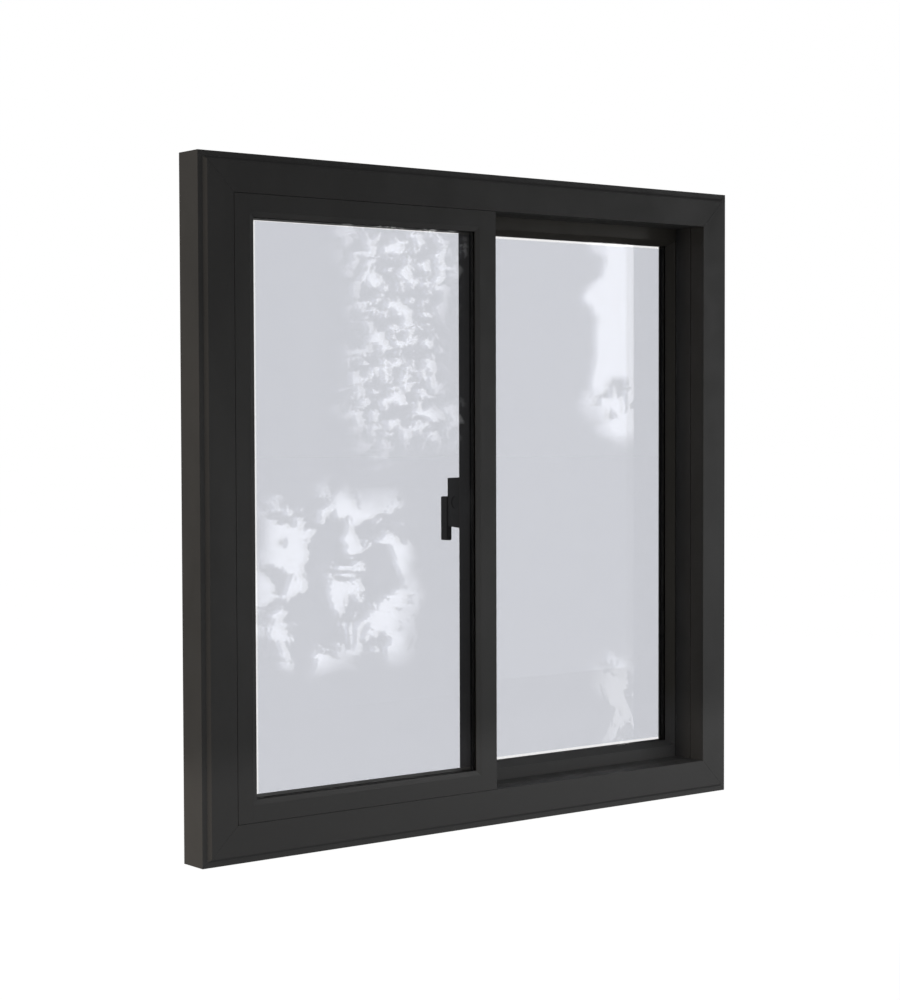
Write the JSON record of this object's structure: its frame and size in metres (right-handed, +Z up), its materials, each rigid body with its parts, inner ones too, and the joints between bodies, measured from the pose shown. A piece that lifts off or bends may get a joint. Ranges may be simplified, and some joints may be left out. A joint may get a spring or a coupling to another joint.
{
  "type": "sliding window",
  "caption": "Framed horizontal sliding window with a fixed lite, a roller-borne sliding sash, a lever lock and a mitred exterior casing.",
  "frame": {"origin": "bottom centre of the exterior casing, on the wall plane that the casing's back edge touches", "axes": "+X across the window to the right as seen from outside, +Y into the room, +Z up"},
  "size_m": [0.94, 0.1366, 0.914],
  "materials": {
    "dark_coating": "satin dark grey coating on extruded aluminium",
    "sash_coating": "satin dark grey coating on extruded aluminium",
    "float_glass": "clear float glass",
    "spacer_bar": "anodised spacer bar",
    "mill_aluminium": "mill finish",
    "seal_rubber": "matt black glazing rubber and sealant",
    "bumper_rubber": "matt black rubber",
    "pile": "woven pile weatherstrip",
    "moulded_nylon": "moulded nylon",
    "acetal": "turned acetal",
    "plated_steel": "zinc plated steel",
    "lock_enamel": "black enamelled die casting"
  },
  "bodies": {
    "frame": {"casing_corner_keys": "mill_aluminium", "casing_head": "dark_coating", "casing_jamb_left": "dark_coating", "casing_jamb_right": "dark_coating", "casing_sill": "dark_coating", "fixed_bead_bottom": "sash_coating", "fixed_bead_meeting": "sash_coating", "fixed_bead_side": "sash_coating", "fixed_bead_top": "sash_coating", "fixed_bottom_rail": "sash_coating", "fixed_corner_screws": "plated_steel", "fixed_glass_inner": "float_glass", "fixed_glass_outer": "float_glass", "fixed_interlock": "sash_coating", "fixed_interlock_screws": "plated_steel", "fixed_meeting_stile": "sash_coating", "fixed_seals": "seal_rubber", "fixed_setting_blocks": "moulded_nylon", "fixed_side_stile": "sash_coating", "fixed_spacer": "spacer_bar", "fixed_stop_head": "sash_coating", "fixed_stop_jamb": "sash_coating", "fixed_stop_sill": "sash_coating", "fixed_top_rail": "sash_coating", "frame_corner_keys": "mill_aluminium", "frame_head": "dark_coating", "frame_jamb_left": "dark_coating", "frame_jamb_right": "dark_coating", "frame_sill": "dark_coating", "head_guide": "mill_aluminium", "lock_keeper": "plated_steel", "sash_bumpers": "bumper_rubber", "sill_track": "mill_aluminium", "stop_screws": "plated_steel", "weather_pile": "pile"},
    "sash": {"lock_base": "lock_enamel", "lock_base_screws": "plated_steel", "roller_axles": "plated_steel", "roller_housings": "moulded_nylon", "sash_bead_bottom": "sash_coating", "sash_bead_meeting": "sash_coating", "sash_bead_side": "sash_coating", "sash_bead_top": "sash_coating", "sash_bottom_rail": "sash_coating", "sash_corner_screws": "plated_steel", "sash_glass_inner": "float_glass", "sash_glass_outer": "float_glass", "sash_interlock": "sash_coating", "sash_interlock_screws": "plated_steel", "sash_meeting_stile": "sash_coating", "sash_seals": "seal_rubber", "sash_setting_blocks": "moulded_nylon", "sash_side_stile": "sash_coating", "sash_spacer": "spacer_bar", "sash_top_rail": "sash_coating"},
    "left_roller": {"roller_wheel_left": "acetal"},
    "right_roller": {"roller_wheel_right": "acetal"},
    "lock": {"lock_lever": "lock_enamel", "lock_spindle": "plated_steel", "lock_cam": "plated_steel"}
  },
  "joints": [
    {"name": "sash_slide", "type": "slide", "parent": "frame", "child": "sash", "axis": [-1, 0, 0], "range_m": [0, 0.406]},
    {"name": "left_roller_spin", "type": "hinge", "parent": "sash", "child": "left_roller", "pos_m": [0.0795, 0.0275, 0.04785], "axis": [0, -1, 0], "continuous": true},
    {"name": "right_roller_spin", "type": "hinge", "parent": "sash", "child": "right_roller", "pos_m": [0.3707, 0.0275, 0.04785], "axis": [0, -1, 0], "continuous": true},
    {"name": "lock_turn", "type": "hinge", "parent": "sash", "child": "lock", "pos_m": [0.0295, 0.0555, 0.453], "axis": [0, 1, 0], "range_deg": [0, 90]}
  ],
  "couplings": [
    {"joint": "left_roller_spin", "follows": "sash_slide", "rad_per_m": 166.67},
    {"joint": "right_roller_spin", "follows": "sash_slide", "rad_per_m": 166.67}
  ]
}
